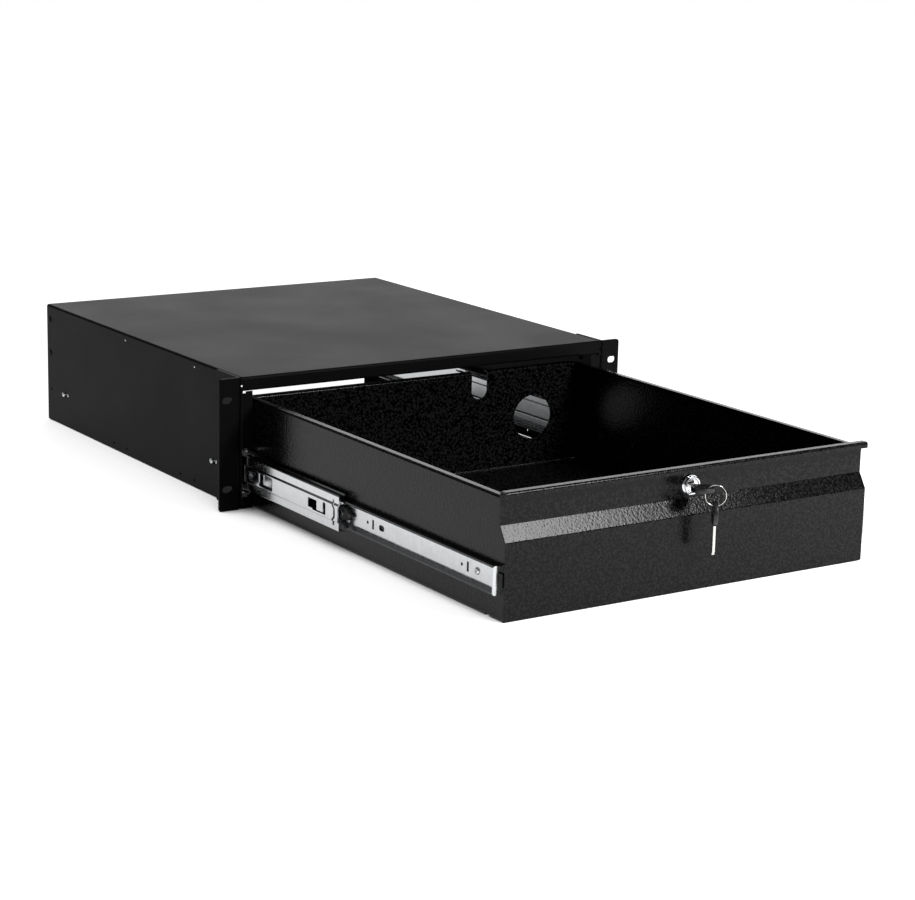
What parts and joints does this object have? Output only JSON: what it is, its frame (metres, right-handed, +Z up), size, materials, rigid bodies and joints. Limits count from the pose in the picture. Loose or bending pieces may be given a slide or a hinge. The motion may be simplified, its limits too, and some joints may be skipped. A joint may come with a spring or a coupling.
{
  "type": "sliding rack drawer",
  "caption": "Lockable sliding drawer in a shallow rack case with slotted ears; the sheet-metal drawer runs on telescoping ball-bearing slides and is held shut by a cam lock with keys.",
  "frame": {"origin": "centre of the four ear slots, on the ears' front face", "axes": "+X to the right of someone facing the front, +Y to the rear of the rack, +Z up"},
  "size_m": [0.4826, 0.924, 0.1324],
  "materials": {
    "black_paint": "satin black powder coat, fine texture",
    "textured_black_paint": "satin black hammered powder coat",
    "zinc_plated_steel": "bright zinc plating",
    "chrome": "polished chrome plating",
    "bright_steel": "bright steel",
    "black_rubber": "matte black rubber",
    "black_plastic": "satin black moulded plastic"
  },
  "bodies": {
    "case": {"case_cover": "black_paint", "case_rear_panel": "black_paint", "rear_rivets": "black_paint", "ear_bracket_left": "black_paint", "ear_bracket_right": "black_paint", "ear_screws": "black_paint", "lock_strike": "black_paint", "cabinet_slide_left": "zinc_plated_steel", "cabinet_slide_right": "zinc_plated_steel", "cabinet_slide_screws": "zinc_plated_steel", "rear_bumper_left": "black_rubber", "rear_bumper_right": "black_rubber"},
    "drawer": {"drawer_tray": "textured_black_paint", "drawer_rear_panel": "textured_black_paint", "drawer_front_panel": "textured_black_paint", "drawer_slide_left": "zinc_plated_steel", "drawer_slide_right": "zinc_plated_steel", "drawer_slide_screws": "zinc_plated_steel", "front_bumper_left": "black_rubber", "front_bumper_right": "black_rubber", "lever_pins": "zinc_plated_steel", "lock_body": "chrome", "lock_nut": "zinc_plated_steel"},
    "middle_left": {"middle_slide_left": "zinc_plated_steel"},
    "middle_right": {"middle_slide_right": "zinc_plated_steel"},
    "outer_bearing_left": {"outer_cage_left": "zinc_plated_steel", "outer_balls_left": "bright_steel"},
    "outer_bearing_right": {"outer_cage_right": "zinc_plated_steel", "outer_balls_right": "bright_steel"},
    "inner_bearing_left": {"inner_cage_left": "zinc_plated_steel", "inner_balls_left": "bright_steel"},
    "inner_bearing_right": {"inner_cage_right": "zinc_plated_steel", "inner_balls_right": "bright_steel"},
    "lever_left": {"release_lever_left": "black_plastic"},
    "lever_right": {"release_lever_right": "black_plastic"},
    "lock_core": {"lock_plug": "chrome", "lock_cam": "zinc_plated_steel", "cam_screw": "zinc_plated_steel", "key_blade": "bright_steel", "key_grip": "black_plastic"},
    "ring": {"key_ring": "bright_steel"},
    "spare_key": {"spare_key_blade": "bright_steel", "spare_key_grip": "black_plastic"}
  },
  "joints": [
    {"name": "drawer_slide", "type": "slide", "parent": "case", "child": "drawer", "axis": [0, 1, 0], "range_m": [-0.0055, 0.4345]},
    {"name": "outer_bearing_left_travel", "type": "slide", "parent": "case", "child": "outer_bearing_left", "axis": [0, 1, 0], "range_m": [-0.00138, 0.09362]},
    {"name": "middle_left_travel", "type": "slide", "parent": "case", "child": "middle_left", "axis": [0, 1, 0], "range_m": [-0.00257, 0.18704]},
    {"name": "inner_bearing_left_travel", "type": "slide", "parent": "case", "child": "inner_bearing_left", "axis": [0, 1, 0], "range_m": [-0.00413, 0.31087]},
    {"name": "outer_bearing_right_travel", "type": "slide", "parent": "case", "child": "outer_bearing_right", "axis": [0, 1, 0], "range_m": [-0.00138, 0.09362]},
    {"name": "middle_right_travel", "type": "slide", "parent": "case", "child": "middle_right", "axis": [0, 1, 0], "range_m": [-0.00257, 0.18704]},
    {"name": "inner_bearing_right_travel", "type": "slide", "parent": "case", "child": "inner_bearing_right", "axis": [0, 1, 0], "range_m": [-0.00413, 0.31087]},
    {"name": "release_lever_left_flick", "type": "hinge", "parent": "drawer", "child": "lever_left", "pos_m": [-0.2048, -0.176, -0.0298], "axis": [1, 0, 0], "range_deg": [0, 12], "stiffness_Nm_per_rad": 0.02},
    {"name": "release_lever_right_flick", "type": "hinge", "parent": "drawer", "child": "lever_right", "pos_m": [0.2048, -0.176, -0.0298], "axis": [1, 0, 0], "range_deg": [-12, 0], "stiffness_Nm_per_rad": 0.02},
    {"name": "lock_turn", "type": "hinge", "parent": "drawer", "child": "lock_core", "pos_m": [0, -0.426, 0.0286], "axis": [0, 1, 0], "range_deg": [0, 90]},
    {"name": "key_ring_swivel", "type": "hinge", "parent": "lock_core", "child": "ring", "pos_m": [0, -0.4493, 0.0286], "axis": [0, 0, 1], "range_deg": [-40, 25]},
    {"name": "spare_key_swing", "type": "hinge", "parent": "ring", "child": "spare_key", "pos_m": [0.00684, -0.45384, 0.01318], "axis": [0.8329, -0.5534, 0], "range_deg": [-35, 12]}
  ],
  "couplings": [
    {"joint": "outer_bearing_left_travel", "follows": "drawer_slide", "ratio": 0.215},
    {"joint": "middle_left_travel", "follows": "drawer_slide", "ratio": 0.43},
    {"joint": "inner_bearing_left_travel", "follows": "drawer_slide", "ratio": 0.715},
    {"joint": "outer_bearing_right_travel", "follows": "drawer_slide", "ratio": 0.215},
    {"joint": "middle_right_travel", "follows": "drawer_slide", "ratio": 0.43},
    {"joint": "inner_bearing_right_travel", "follows": "drawer_slide", "ratio": 0.715}
  ]
}
